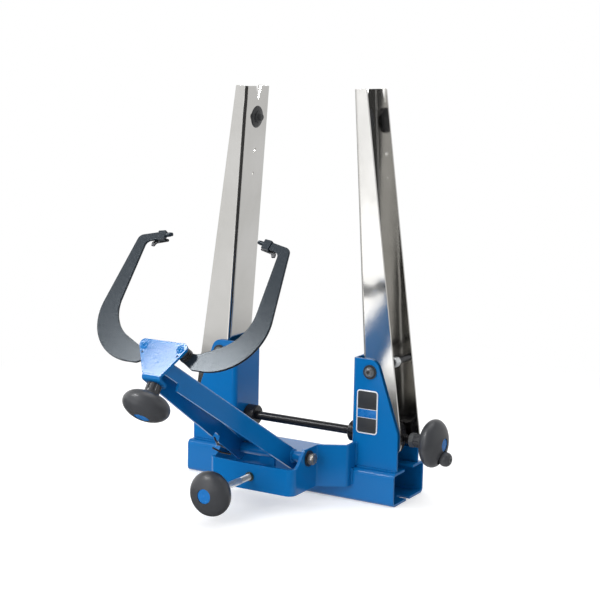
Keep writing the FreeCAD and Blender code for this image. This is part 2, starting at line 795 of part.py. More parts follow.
def caliperSlider():
    """Block on the caliper screw; its two pins swing the forked caliper tails."""
    u = sliderLever * math.tan(math.radians(caliperOpen))
    low = caliperLevel + caliperSheet / 2 + 0.3
    block = plate([(-12.5, u - 5.5, 2), (12.5, u - 5.5, 2), (12.5, u + 5.5, 2), (-12.5, u + 5.5, 2)], low, 2.2)
    body = block.fuse(box(-4.4, 4.4, u - 5.5, u + 5.5, knobAxisN - 4.4, low + 1))
    pin = rod(sliderPin, vec(caliperPivot - sliderLever, u, low - 5), vec(caliperPivot - sliderLever, u, low + 1))
    body = body.fuse([pin, mirrored(pin)]).removeSplitter()
    bore = rod(caliperScrewRadius + runningGap, vec(0, -20, knobAxisN), vec(0, 20, knobAxisN))
    return toHead(body.cut(bore))


def caliperScrew():
    r = caliperScrewRadius
    screw = turned([(0, -64), (r, -64), (r, 10.9), (r - 0.6, 11.5), (0, 11.5)], vec(0, 0, knobAxisN), yAxis)
    return toHead(screw)


def caliperKnob():
    origin = vec(0, caliperKnobStart, knobAxisN)
    return toHead(knob(knobRadius, insertRadius, caliperScrewRadius, 22.5, origin, yAxis * -1))


def caliperKnobInsert():
    return toHead(knobInsert(knobRadius, insertRadius, vec(0, caliperKnobStart, knobAxisN), yAxis * -1))


def springFoot():
    """Leg of the return spring that rests on the bracket's corner."""
    return wireLeg([vec(-54.0, armPivotY - 2.0, armPivotZ - 11.9), vec(-53.5, -120.0, 58.5),
                    vec(-58.5, -131.5, 66.0)])


def main():
    os.makedirs("parts", exist_ok=True)
    save("base_tube", baseTube())
    saveBoth("tower", tower())
    save("pivot_bolts", pivotBolts())
    save("pivot_washers", pivotWashers())
    saveBoth("upright", upright())
    saveBoth("axle_adapter", axleAdapter())
    saveBoth("cross_rod", crossRod())
    saveBoth("cross_nut", crossNut())
    save("spindle_rod", spindleRod())
    save("spindle_collars", bothSides(collar()))
    save("collar_screws", bothSides(collarScrew()))
    saveBoth("spindle_nut", spindleNut())
    save("jam_nut", jamNut())
    save("crank_knob", crankKnob())
    save("crank_knob_insert", knobInsert(crankRadius, crankInsertRadius, vec(crankHubX, 0, spindleZ), xAxis))
    save("grip_pin", gripPin())
    save("crank_grip", crankGrip())
    save("arm_bracket", armBracket())
    save("arm_pivot_bolt", armPivotBolt())
    save("arm_pivot_washers", armPivotWashers())
    save("arm_pivot_nut", armPivotNut())
    save("radial_bush", radialBush())
    save("radial_tip", radialTip())
    save("radial_screw", radialScrewRod())
    save("radial_knob", knob(knobRadius, insertRadius, radialScrew + 0.3, 34.5, radialKnobOrigin(), yAxis * -1))
    save("radial_knob_insert", knobInsert(knobRadius, insertRadius, radialKnobOrigin(), yAxis * -1))
    save("caliper_arm", caliperArm())
    save("pivot_tube", pivotTube())
    save("arm_lever", armLever())
    save("return_spring", returnSpring())
    save("spring_foot", springFoot())
    save("head_plate", headPlate())
    save("head_screws", headScrews())
    save("head_nuts", headNuts())
    save("screw_washer", screwWasher())
    saveBoth("caliper", caliper())
    saveBoth("caliper_washers", caliperWashers())
    saveBoth("feeler_block", feelerBlock())
    saveBoth("feeler_strip", feelerStrip())
    save("caliper_slider", caliperSlider())
    save("caliper_screw", caliperScrew())
    save("caliper_knob", caliperKnob())
    save("caliper_knob_insert", caliperKnobInsert())


main()
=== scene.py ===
import json
import math

import bmesh
import bpy
from mathutils import Matrix, Vector


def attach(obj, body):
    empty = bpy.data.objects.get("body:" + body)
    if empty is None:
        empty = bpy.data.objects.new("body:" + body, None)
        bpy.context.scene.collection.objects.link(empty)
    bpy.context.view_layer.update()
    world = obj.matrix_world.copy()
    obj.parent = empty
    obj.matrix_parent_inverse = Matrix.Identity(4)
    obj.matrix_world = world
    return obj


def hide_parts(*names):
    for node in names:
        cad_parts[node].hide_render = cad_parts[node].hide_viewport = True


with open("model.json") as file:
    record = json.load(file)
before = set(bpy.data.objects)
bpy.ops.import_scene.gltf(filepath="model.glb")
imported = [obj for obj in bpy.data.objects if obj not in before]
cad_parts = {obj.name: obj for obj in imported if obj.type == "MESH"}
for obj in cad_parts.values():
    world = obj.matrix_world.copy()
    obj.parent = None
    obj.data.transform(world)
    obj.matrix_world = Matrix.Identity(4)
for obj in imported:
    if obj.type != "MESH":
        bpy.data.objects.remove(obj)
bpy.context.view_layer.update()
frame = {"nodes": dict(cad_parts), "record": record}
nodes = frame["nodes"]
bodyOf = {node: body for body, members in frame["record"]["behaviour"]["bodies"].items()
          for node in members}
slotOf = {part["node"]: part["material_slot"] for part in frame["record"]["subparts"]}
print("frame loaded:", len(nodes), "nodes")


# small helpers for node trees

def addNode(tree, kind, place, values=None, **settings):
    node = tree.nodes.new("ShaderNode" + kind)
    node.location = place
    for name, value in settings.items():
        setattr(node, name, value)
    for name, value in (values or {}).items():
        node.inputs[name].default_value = value
    return node


def newGroup(name, inputs, outputs):
    group = bpy.data.node_groups.new(name, "ShaderNodeTree")
    for label, value in inputs.items():
        socket = group.interface.new_socket(label, in_out="INPUT", socket_type="NodeSocketFloat")
        socket.default_value = value
    for label in outputs:
        group.interface.new_socket(label, in_out="OUTPUT", socket_type="NodeSocketFloat")
    start = group.nodes.new("NodeGroupInput")
    start.location = (-900, 0)
    end = group.nodes.new("NodeGroupOutput")
    end.location = (600, 0)
    return group, start, end


def useGroup(tree, group, place, values=None):
    node = tree.nodes.new("ShaderNodeGroup")
    node.node_tree = group
    node.location = place
    for name, value in (values or {}).items():
        node.inputs[name].default_value = value
    return node


def newMaterial(name, **surface):
    material = bpy.data.materials.new(name)
    material.use_nodes = True
    tree = material.node_tree
    shader = tree.nodes["Principled BSDF"]
    for label, value in surface.items():
        shader.inputs[label.replace("_", " ")].default_value = value
    return material, tree, shader


def colourMix(tree, place, first, second, mask):
    mix = addNode(tree, "Mix", place, data_type="RGBA")
    for key, colour in ((6, first), (7, second)):
        if isinstance(colour, tuple):
            mix.inputs[key].default_value = (*colour, 1)
        else:
            tree.links.new(colour, mix.inputs[key])
    tree.links.new(mask, mix.inputs[0])
    return mix.outputs[2]


# shader groups

def makeRippleGroup():
    # soft waves of a sprayed or moulded skin, with finer grain on top
    inputs = {"Wave": 300.0, "Grain": 2500.0, "Grain share": 0.2}
    group, start, end = newGroup("skinRipple", inputs, ["Height"])
    place = addNode(group, "TexCoord", (-900, -250))
    wave = addNode(group, "TexNoise", (-600, 150), {"Detail": 1.0})
    grain = addNode(group, "TexNoise", (-600, -150), {"Detail": 2.0})
    mix = addNode(group, "Mix", (-200, 0), data_type="FLOAT")
    for noise, label in ((wave, "Wave"), (grain, "Grain")):
        group.links.new(place.outputs["Object"], noise.inputs["Vector"])
        group.links.new(start.outputs[label], noise.inputs["Scale"])
    group.links.new(start.outputs["Grain share"], mix.inputs[0])
    group.links.new(wave.outputs["Fac"], mix.inputs[2])
    group.links.new(grain.outputs["Fac"], mix.inputs[3])
    group.links.new(mix.outputs[0], end.inputs["Height"])
    return group


def makeRubGroup():
    # where hands and tools have rubbed: sharp edges, broken up by noise
    inputs = {"Width": 0.0008, "Scale": 120.0, "Cover": 0.5}
    group, start, end = newGroup("edgeRub", inputs, ["Mask"])
    rounded = addNode(group, "Bevel", (-650, 250), samples=4)
    flat = addNode(group, "NewGeometry", (-650, 50))
    dot = addNode(group, "VectorMath", (-400, 200), operation="DOT_PRODUCT")
    edge = addNode(group, "MapRange", (-200, 200), {"From Min": 0.995, "From Max": 0.86})
    place = addNode(group, "TexCoord", (-900, -250))
    noise = addNode(group, "TexNoise", (-650, -200), {"Detail": 4.0, "Roughness": 0.65})
    patch = addNode(group, "MapRange", (-200, -150), {"From Min": 0.45, "From Max": 0.6})
    worn = addNode(group, "Math", (100, 100), operation="MULTIPLY")
    share = addNode(group, "Math", (300, 100), operation="MULTIPLY")
    group.links.new(start.outputs["Width"], rounded.inputs["Radius"])
    group.links.new(rounded.outputs["Normal"], dot.inputs[0])
    group.links.new(flat.outputs["Normal"], dot.inputs[1])
    group.links.new(dot.outputs["Value"], edge.inputs["Value"])
    group.links.new(place.outputs["Object"], noise.inputs["Vector"])
    group.links.new(start.outputs["Scale"], noise.inputs["Scale"])
    group.links.new(noise.outputs["Fac"], patch.inputs["Value"])
    group.links.new(edge.outputs["Result"], worn.inputs[0])
    group.links.new(patch.outputs["Result"], worn.inputs[1])
    group.links.new(worn.outputs["Value"], share.inputs[0])
    group.links.new(start.outputs["Cover"], share.inputs[1])
    group.links.new(share.outputs["Value"], end.inputs["Mask"])
    return group


def makeSmudgeGroup():
    # large soft patches that change how dull the surface is
    inputs = {"Scale": 14.0, "Dull": 0.3, "Bright": 0.2}
    group, start, end = newGroup("handSmudge", inputs, ["Value"])
    place = addNode(group, "TexCoord", (-900, -250))
    noise = addNode(group, "TexNoise", (-600, 0),
                    {"Detail": 5.0, "Roughness": 0.6, "Distortion": 0.4})
    spread = addNode(group, "MapRange", (-200, 0), {"From Min": 0.35, "From Max": 0.65})
    group.links.new(place.outputs["Object"], noise.inputs["Vector"])
    group.links.new(start.outputs["Scale"], noise.inputs["Scale"])
    group.links.new(noise.outputs["Fac"], spread.inputs["Value"])
    group.links.new(start.outputs["Bright"], spread.inputs["To Min"])
    group.links.new(start.outputs["Dull"], spread.inputs["To Max"])
    group.links.new(spread.outputs["Result"], end.inputs["Value"])
    return group


def makeFleckGroup():
    # small separate flecks in a textured coating
    group, start, end = newGroup("coatFleck", {"Scale": 900.0, "Amount": 0.5}, ["Mask"])
    place = addNode(group, "TexCoord", (-900, -250))
    cells = addNode(group, "TexVoronoi", (-600, 0), {"Randomness": 1.0})
    noise = addNode(group, "TexNoise", (-600, -250), {"Detail": 2.0})
    near = addNode(group, "MapRange", (-300, 0), {"From Min": 0.42, "From Max": 0.18})
    some = addNode(group, "MapRange", (-300, -250), {"From Min": 0.5, "From Max": 0.62})
    both = addNode(group, "Math", (0, 0), operation="MULTIPLY")
    share = addNode(group, "Math", (250, 0), operation="MULTIPLY")
    for texture in (cells, noise):
        group.links.new(place.outputs["Object"], texture.inputs["Vector"])
        group.links.new(start.outputs["Scale"], texture.inputs["Scale"])
    group.links.new(cells.outputs["Distance"], near.inputs["Value"])
    group.links.new(noise.outputs["Fac"], some.inputs["Value"])
    group.links.new(near.outputs["Result"], both.inputs[0])
    group.links.new(some.outputs["Result"], both.inputs[1])
    group.links.new(both.outputs["Value"], share.inputs[0])
    group.links.new(start.outputs["Amount"], share.inputs[1])
    group.links.new(share.outputs["Value"], end.inputs["Mask"])
    return group


skinRipple = makeRippleGroup()
edgeRub = makeRubGroup()
handSmudge = makeSmudgeGroup()
coatFleck = makeFleckGroup()


# finishes; patches and stains are noise scales, of the dull patches and of the second colour

bluePaint = {"colour": (0.003, 0.130, 0.380), "thin": (0.02, 0.20, 0.53),
             "dull": 0.15, "bright": 0.07, "patches": 14.0, "shine": 0.26}
nickelPlate = {"colour": (0.76, 0.75, 0.73), "haze": (0.69, 0.68, 0.655),
               "dull": 0.16, "bright": 0.07, "patches": 6.0, "stains": 9.0}
caliperCoat = {"colour": (0.010, 0.015, 0.021), "fleck": (0.035, 0.043, 0.055),
               "edge": (0.09, 0.10, 0.115), "tint": (0.84, 0.93, 1.0, 1.0),
               "roughness": 0.17, "shine": 0.27, "fleckScale": 1100.0, "fleckAmount": 0.6}
blackMoulding = {"colour": (0.030, 0.031, 0.033), "worn": (0.06, 0.06, 0.062),
                 "dull": 0.46, "bright": 0.34, "patches": 30.0}
knobSkin = {"colour": (0.044, 0.046, 0.051), "worn": (0.07, 0.072, 0.077),
            "dull": 0.37, "bright": 0.33, "patches": 30.0}
greenNylon = {"colour": (0.012, 0.030, 0.026), "worn": (0.03, 0.06, 0.05),
              "dull": 0.4, "bright": 0.28, "patches": 30.0}
zincPlate = {"colour": (0.80, 0.82, 0.83), "stain": (0.62, 0.64, 0.65),
             "dull": 0.42, "bright": 0.28, "metallic": 0.6, "patches": 45.0, "stains": 90.0}
darkZinc = {"colour": (0.085, 0.088, 0.092), "stain": (0.045, 0.045, 0.048),
            "dull": 0.45, "bright": 0.3, "metallic": 0.85, "patches": 45.0, "stains": 90.0}
boltGrey = {"colour": (0.22, 0.23, 0.24), "stain": (0.13, 0.135, 0.14),
            "dull": 0.42, "bright": 0.30, "metallic": 0.5, "patches": 60.0, "stains": 120.0}
burntSteel = {"colour": (0.34, 0.32, 0.29), "stain": (0.16, 0.15, 0.14),
              "dull": 0.34, "bright": 0.22, "metallic": 0.7, "patches": 60.0, "stains": 120.0}
plateSilver = {"colour": (0.88, 0.89, 0.91), "stain": (0.80, 0.81, 0.83),
               "dull": 0.4, "bright": 0.28, "metallic": 0.3, "patches": 30.0, "stains": 60.0}
blackRod = {"colour": (0.010, 0.010, 0.012), "worn": (0.08, 0.08, 0.085),
            "dull": 0.32, "bright": 0.2, "patches": 25.0, "metallic": 0.1, "shine": 0.3}
blueInsert = {"colour": (0.010, 0.16, 0.48), "shade": (0.006, 0.12, 0.38),
              "dull": 0.3, "bright": 0.2, "patches": 60.0}
# skins: scale of the waves, scale and share of the grain, bump strength, height in metres
skins = {
    "sprayed": (420.0, 3000.0, 0.12, 0.12, 0.0006), "plated": (40.0, 900.0, 0.06, 0.12, 0.001),
    "coated": (900.0, 3500.0, 0.35, 0.12, 0.0004), "moulded": (1400.0, 5000.0, 0.4, 0.2, 0.0003),
    "bare": (1200.0, 6000.0, 0.5, 0.12, 0.0002),
}
# worn edges: width in metres, scale of the noise that breaks them up, share that is worn
rubs = {
    "sprayed": (0.0009, 140.0, 0.3), "coated": (0.0008, 160.0, 0.5),
    "moulded": (0.0008, 90.0, 0.5), "rod": (0.0006, 200.0, 0.6),
}


def roughFrom(tree, shader, look):
    smudge = useGroup(tree, handSmudge, (-700, -50), {
        "Scale": look["patches"], "Dull": look["dull"], "Bright": look["bright"]})
    tree.links.new(smudge.outputs[0], shader.inputs["Roughness"])


def colourFrom(tree, shader, first, second, mask):
    tree.links.new(colourMix(tree, (-400, 200), first, second, mask.outputs[0]),
                   shader.inputs["Base Color"])


def bumpFrom(tree, shader, skin):
    wave, grain, share, strength, height = skins[skin]
    ripple = useGroup(tree, skinRipple, (-700, -350),
                      {"Wave": wave, "Grain": grain, "Grain share": share})
    bump = addNode(tree, "Bump", (-250, -350), {"Strength": strength, "Distance": height})
    tree.links.new(ripple.outputs[0], bump.inputs["Height"])
    tree.links.new(bump.outputs["Normal"], shader.inputs["Normal"])


def rubFrom(tree, rub):
    width, scale, cover = rubs[rub]
    return useGroup(tree, edgeRub, (-700, 200), {"Width": width, "Scale": scale, "Cover": cover})


def stainFrom(tree, scale):
    return useGroup(tree, handSmudge, (-900, 200), {"Scale": scale, "Dull": 1.0, "Bright": 0.0})


def makeBluePaint(look):
    material, tree, shader = newMaterial("bluePaint", Specular_IOR_Level=look["shine"])
    colourFrom(tree, shader, look["colour"], look["thin"], rubFrom(tree, "sprayed"))
    roughFrom(tree, shader, look)
    bumpFrom(tree, shader, "sprayed")
    return material


def makeNickelPlate(look):
    material, tree, shader = newMaterial("nickelPlate", Metallic=1.0)
    colourFrom(tree, shader, look["colour"], look["haze"], stainFrom(tree, look["stains"]))
    roughFrom(tree, shader, look)
    bumpFrom(tree, shader, "plated")
    return material


def makeCaliperCoat(look):
    material, tree, shader = newMaterial("caliperCoat", Roughness=look["roughness"],
                                         Specular_IOR_Level=look["shine"],
                                         Specular_Tint=look["tint"])
    fleck = useGroup(tree, coatFleck, (-900, 250),
                     {"Scale": look["fleckScale"], "Amount": look["fleckAmount"]})
    base = colourMix(tree, (-600, 250), look["colour"], look["fleck"], fleck.outputs[0])
    colourFrom(tree, shader, base, look["edge"], rubFrom(tree, "coated"))
    bumpFrom(tree, shader, "coated")
    return material


def makeMoulding(name, look):
    material, tree, shader = newMaterial(name)
    colourFrom(tree, shader, look["colour"], look["worn"], rubFrom(tree, "moulded"))
    roughFrom(tree, shader, look)
    bumpFrom(tree, shader, "moulded")
    return material


def makeBareMetal(name, look):
    material, tree, shader = newMaterial(name, Metallic=look["metallic"])
    colourFrom(tree, shader, look["colour"], look["stain"], stainFrom(tree, look["stains"]))
    roughFrom(tree, shader, look)
    bumpFrom(tree, shader, "bare")
    return material


def makeBlackRod(look):
    material, tree, shader = newMaterial("blackRod", Metallic=look["metallic"],
                                         Specular_IOR_Level=look["shine"])
    colourFrom(tree, shader, look["colour"], look["worn"], rubFrom(tree, "rod"))
    roughFrom(tree, shader, look)
    return material


def makeBlueInsert(look):
    material, tree, shader = newMaterial("blueInsert")
    shade = useGroup(tree, skinRipple, (-900, 200),
                     {"Wave": 150.0, "Grain": 900.0, "Grain share": 0.2})
    colourFrom(tree, shader, look["colour"], look["shade"], shade)
    roughFrom(tree, shader, look)
    return material


finishes = {
    "blue_paint": makeBluePaint(bluePaint),
    "nickel_plate": makeNickelPlate(nickelPlate),
    "grey_paint": makeCaliperCoat(caliperCoat),
    "black_plastic": makeMoulding("blackMoulding", blackMoulding),
    "zinc_steel": makeBareMetal("zincPlate", zincPlate),
    "dark_steel": makeBareMetal("darkZinc", darkZinc),
    "black_steel": makeBlackRod(blackRod),
    "blue_insert": makeBlueInsert(blueInsert),
}
knobFinish = makeMoulding("knobSkin", knobSkin)
boltFinish = makeBareMetal("boltGrey", boltGrey)
burntFinish = makeBareMetal("burntSteel", burntSteel)
# pieces that look different from the rest of their slot
ownFinish = {
    "radial_bush": makeMoulding("greenNylon", greenNylon),
    "pivot_washers": finishes["black_plastic"],
    "namePlate.back": makeBareMetal("plateSilver", plateSilver),
    "crank_knob": knobFinish, "radial_knob": knobFinish, "caliper_knob": knobFinish,
    "crank_grip": knobFinish,
    "arm_pivot_bolt": burntFinish, "arm_pivot_nut": burntFinish,
    "pivot_bolts": boltFinish, "jam_nut": boltFinish, "grip_pin": boltFinish,
}
print("finishes made:", len({*finishes.values(), *ownFinish.values()}))


for node in nodes:
    mesh = nodes[node].data
    mesh.materials.clear()
    mesh.materials.append(ownFinish.get(node) or finishes[slotOf[node]])


# building helpers

def newPiece(name, mesh):
    piece = bpy.data.objects.new(name, mesh)
    bpy.context.scene.collection.objects.link(piece)
    return piece


def freeze(piece):
    # the evaluated shape becomes a plain mesh and its modifiers go
    bpy.context.view_layer.update()
    evaluated = piece.evaluated_get(bpy.context.evaluated_depsgraph_get())
    mesh = bpy.data.meshes.new_from_object(evaluated)
    piece.modifiers.clear()
    piece.data = mesh


def putOn(piece, body, slot, replaced=()):
    source = replaced[0] if replaced else piece.name
    piece.data.materials.clear()
    piece.data.materials.append(ownFinish.get(source) or finishes[slot])
    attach(piece, body)
    if replaced:
        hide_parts(*replaced)


def mergedShape(node):
    shape = bmesh.new()
    shape.from_mesh(nodes[node].data)
    bmesh.ops.remove_doubles(shape, verts=shape.verts, dist=2e-6)
    return shape


def pieceFrom(name, meshName, shape):
    mesh = bpy.data.meshes.new(meshName)
    shape.to_mesh(mesh)
    shape.free()
    return newPiece(name, mesh)


def smoothAcross(piece, angle):
    piece.data.shade_smooth()
    piece.data.set_sharp_from_angle(angle=math.radians(angle))


def addBevel(piece, width):
    bevel = piece.modifiers.new("edge", "BEVEL")
    bevel.width = width
    bevel.segments = 2
    bevel.limit_method = "ANGLE"
    return bevel


# folded and cut edges get a real rounding on a merged copy of the node

edgeRounding = {
    "base_tube": 0.0005, "tower_left": 0.0006, "tower_right": 0.0006, "upright_left": 0.0004,
    "upright_right": 0.0004, "arm_bracket": 0.0006, "caliper_arm": 0.0005, "head_plate": 0.0005,
    "caliper_left": 0.0007, "caliper_right": 0.0007, "feeler_block_left": 0.0004,
    "feeler_block_right": 0.0004, "feeler_strip_left": 0.0003, "feeler_strip_right": 0.0003,
}
edgeAngles = {"flat": 0.6, "sharp": 28, "turned": 30}


def roundedCopy(node, width):
    shape = mergedShape(node)
    bmesh.ops.dissolve_limit(shape, angle_limit=math.radians(edgeAngles["flat"]),
                             verts=shape.verts, edges=shape.edges)
    piece = pieceFrom(node + ".rounded", node + "Rounded", shape)
    smoothAcross(piece, edgeAngles["sharp"])
    addBevel(piece, width).angle_limit = math.radians(edgeAngles["sharp"])
    weighted = piece.modifiers.new("faceWeight", "WEIGHTED_NORMAL")
    weighted.keep_sharp = False
    weighted.weight = 80
    freeze(piece)
    putOn(piece, bodyOf[node], slotOf[node], [node])


for node, width in edgeRounding.items():
    roundedCopy(node, width)
print("edges rounded:", len(edgeRounding))


# the two head screws sit low under the paint, so the part above the plate is pressed down

headScrews = {"plate": (0, -0.3189, 0.2297), "out": (0, -0.7986, 0.6018), "face": 0.0090,
              "share": 0.45}


def pressScrews(look):
    shape = mergedShape("head_screws")
    out = Vector(look["out"])
    for vert in shape.verts:
        above = (vert.co - Vector(look["plate"])).dot(out) - look["face"]
        if above > 0:
            vert.co -= out * above * (1 - look["share"])
    piece = pieceFrom("head_screws.pressed", "headScrewsPressed", shape)
    smoothAcross(piece, edgeAngles["turned"])
    putOn(piece, bodyOf["head_screws"], slotOf["head_screws"], ["head_screws"])


pressScrews(headScrews)


# screw threads: a node tree winds the ridge, and the shank under it is turned down

def geometryTree(name, inputs):
    tree = bpy.data.node_groups.new(name, "GeometryNodeTree")
    tree.interface.new_socket("Geometry", in_out="INPUT", socket_type="NodeSocketGeometry")
    for label, kind in inputs.items():
        tree.interface.new_socket(label, in_out="INPUT", socket_type="NodeSocket" + kind)
    tree.interface.new_socket("Geometry", in_out="OUTPUT", socket_type="NodeSocketGeometry")
    start = tree.nodes.new("NodeGroupInput")
    start.location = (-900, 0)
    end = tree.nodes.new("NodeGroupOutput")
    end.location = (900, 0)
    return tree, start, end


def addStep(tree, kind, place, **settings):
    step = tree.nodes.new("GeometryNode" + kind)
    step.location = place
    for name, value in settings.items():
        setattr(step, name, value)
    return step


def finishTree(tree, start, end, result):
    realize = addStep(tree, "RealizeInstances", (500, 0))
    finish = addStep(tree, "SetMaterial", (700, 0))
    tree.links.new(result, realize.inputs[0])
    tree.links.new(realize.outputs[0], finish.inputs["Geometry"])
    tree.links.new(start.outputs["Finish"], finish.inputs["Material"])
    tree.links.new(finish.outputs[0], end.inputs[0])


def runTree(tree, mesh, values):
    piece = newPiece("treeRun", mesh)
    modifier = piece.modifiers.new("tree", "NODES")
    modifier.node_group = tree
    keys = {item.name: item.identifier for item in tree.interface.items_tree
            if item.in_out == "INPUT"}
    for label, value in values.items():
        modifier[keys[label]] = value
    freeze(piece)
    result = piece.data
    bpy.data.objects.remove(piece)
    return result


def makeThreadTree():
    tree, start, end = geometryTree("threadRidge", {
        "Radius": "Float", "Pitch": "Float", "Turns": "Float", "Depth": "Float",
        "Left hand": "Bool", "Finish": "Material"})
    length = addNode(tree, "Math", (-650, -200), operation="MULTIPLY")
    inner = addNode(tree, "Math", (-650, 150), operation="SUBTRACT")
    helix = addStep(tree, "CurveSpiral", (-400, 0))
    helix.inputs["Resolution"].default_value = 24
    level = addStep(tree, "SetCurveNormal", (-150, 0), mode="Z_UP")
    profile = addStep(tree, "CurvePrimitiveCircle", (-150, -250))
    profile.inputs["Resolution"].default_value = 4
    sweep = addStep(tree, "CurveToMesh", (150, 0))
    sweep.inputs["Fill Caps"].default_value = True
    tree.links.new(start.outputs["Pitch"], length.inputs[0])
    tree.links.new(start.outputs["Turns"], length.inputs[1])
    tree.links.new(start.outputs["Radius"], inner.inputs[0])
    tree.links.new(start.outputs["Depth"], inner.inputs[1])
    tree.links.new(start.outputs["Turns"], helix.inputs["Rotations"])
    tree.links.new(inner.outputs[0], helix.inputs["Start Radius"])
    tree.links.new(inner.outputs[0], helix.inputs["End Radius"])
    tree.links.new(length.outputs[0], helix.inputs["Height"])
    tree.links.new(start.outputs["Left hand"], helix.inputs["Reverse"])
    tree.links.new(start.outputs["Depth"], profile.inputs["Radius"])
    tree.links.new(helix.outputs[0], level.inputs[0])
    tree.links.new(level.outputs[0], sweep.inputs["Curve"])
    tree.links.new(profile.outputs[0], sweep.inputs["Profile Curve"])
    finishTree(tree, start, end, sweep.outputs[0])
    return tree


threadRidge = makeThreadTree()
# each run: start, direction, length, radius, pitch, left hand
threadRuns = {
    "radial_screw": [((0, -0.1580, 0.0385), (0, 1, 0), 0.0490, 0.0040, 0.00125, False)],
    "spindle_rod": [((0.0930, 0, 0.0803), (1, 0, 0), 0.0700, 0.00575, 0.0030, False),
                    ((-0.0930, 0, 0.0803), (-1, 0, 0), 0.0610, 0.00575, 0.0030, True)],
    "arm_pivot_bolt": [((-0.0600, -0.0950, 0.0624), (-1, 0, 0), 0.0140, 0.0040, 0.00125, False)],
    "pivot_bolts": [((side * 0.11375, end * 0.0256, 0.1690), (0, -end, 0),
                     0.0050, 0.0040, 0.00125, False) for side in (-1, 1) for end in (-1, 1)],
}
threadSlots = {"pivot_bolts": "dark_steel"}
# depth as a share of the pitch; overrun is the step left at each end of the turned part
threadLook = {"fineBelow": 0.002, "fineDepth": 0.32, "coarseDepth": 0.2, "overrun": 0.0003}


def threadDepth(pitch):
    fine = pitch < threadLook["fineBelow"]
    return pitch * threadLook["fineDepth"] if fine else pitch * threadLook["coarseDepth"]


def turnDown(shape, start, axis, length, radius, depth):
    for reach in (-threadLook["overrun"], 0.0, length, length + threadLook["overrun"]):
        everything = shape.verts[:] + shape.edges[:] + shape.faces[:]
        bmesh.ops.bisect_plane(shape, geom=everything, plane_co=start + axis * reach,
                               plane_no=axis)
    for vert in shape.verts:
        offset = vert.co - start
        along = offset.dot(axis)
        out = offset - axis * along
        if -1e-6 < along < length + 1e-6 and radius * 0.97 < out.length < radius * 1.01:
            vert.co -= out.normalized() * depth


def threadedCopy(node, runs, slot):
    shape = mergedShape(node)
    for start, direction, length, radius, pitch, leftHand in runs:
        turnDown(shape, Vector(start), Vector(direction), length, radius, threadDepth(pitch))
    for start, direction, length, radius, pitch, leftHand in runs:
        ridge = runTree(threadRidge, bpy.data.meshes.new("empty"), {
            "Radius": radius, "Pitch": pitch, "Turns": length / pitch,
            "Depth": threadDepth(pitch), "Left hand": leftHand, "Finish": finishes[slot]})
        turn = Vector(direction).to_track_quat("Z", "Y").to_matrix().to_4x4()
        ridge.transform(Matrix.Translation(start) @ turn)
        shape.from_mesh(ridge)
    bmesh.ops.recalc_face_normals(shape, faces=shape.faces)
    piece = pieceFrom(node + ".threaded", node + "Turned", shape)
    smoothAcross(piece, edgeAngles["turned"])
    putOn(piece, bodyOf[node], slot, [node])


for node, runs in threadRuns.items():
    threadedCopy(node, runs, threadSlots.get(node, slotOf[node]))
print("threads cut:", sum(len(runs) for runs in threadRuns.values()))


# weld beads: overlapping scallops along each seam, under the paint

weldLook = {"radius": 0.0021, "spacing": 0.0017, "seed": 4,
            "thickness": 0.75, "smallest": 0.8, "largest": 1.15}
# seams in millimetres, on the right side
baseSeams = [
    [(97.2, -33.2, 45.5), (97.2, -33.2, 74.0)],
    [(97.2, -44.2, 22.5), (97.2, -44.2, 42.0)],
    [(100.0, -33.0, 43.8), (153.0, -33.0, 43.8)],
    [(97.0, 33.0, 43.8), (153.0, 33.0, 43.8)],
    [(87.9, -25.0, 43.8), (87.9, 25.0, 43.8)],
]
armSeam = {"x": 39.9, "y": -95.0, "z": 62.4, "radius": 7.3}


def makeWeldTree(look):
    tree, start, end = geometryTree("weldBead", {"Radius": "Float", "Spacing": "Float",
                                                 "Seed": "Int", "Finish": "Material"})
    seam = addStep(tree, "MeshToCurve", (-650, 0))
    points = addStep(tree, "CurveToPoints", (-400, 0), mode="LENGTH")
    ball = addStep(tree, "MeshIcoSphere", (-400, -300))
    ball.inputs["Subdivisions"].default_value = 3
    thickness = addNode(tree, "Math", (-400, -500), operation="MULTIPLY")
    thickness.inputs[1].default_value = look["thickness"]
    size = tree.nodes.new("FunctionNodeRandomValue")
    size.location = (-400, -700)
    size.data_type = "FLOAT"
    size.inputs[2].default_value = look["smallest"]
    size.inputs[3].default_value = look["largest"]
    width = addNode(tree, "Math", (-200, -600), operation="MULTIPLY")
    shape = addNode(tree, "CombineXYZ", (-50, -450))
    scatter = addStep(tree, "InstanceOnPoints", (100, 0))
    tree.links.new(start.outputs["Geometry"], seam.inputs[0])
    tree.links.new(seam.outputs[0], points.inputs[0])
    tree.links.new(start.outputs["Spacing"], points.inputs["Length"])
    tree.links.new(start.outputs["Spacing"], thickness.inputs[0])
    tree.links.new(start.outputs["Seed"], size.inputs["Seed"])
    tree.links.new(size.outputs[1], width.inputs[0])
    tree.links.new(start.outputs["Radius"], width.inputs[1])
    tree.links.new(width.outputs[0], shape.inputs[0])
    tree.links.new(width.outputs[0], shape.inputs[1])
    tree.links.new(thickness.outputs[0], shape.inputs[2])
    tree.links.new(points.outputs[0], scatter.inputs["Points"])
    tree.links.new(ball.outputs[0], scatter.inputs["Instance"])
    tree.links.new(points.outputs["Rotation"], scatter.inputs["Rotation"])
    tree.links.new(shape.outputs[0], scatter.inputs["Scale"])
    finishTree(tree, start, end, scatter.outputs[0])
    return tree


def seamMesh(paths):
    mesh = bpy.data.meshes.new("seams")
    spots = []
    edges = []
    for path in paths:
        edges += [(len(spots) + k, len(spots) + k + 1) for k in range(len(path) - 1)]
        spots += path
    mesh.from_pydata([Vector(spot) / 1000 for spot in spots], edges, [])
    return mesh


def mirroredPaths(paths):
    return paths + [[(-x, y, z) for x, y, z in path] for path in paths]


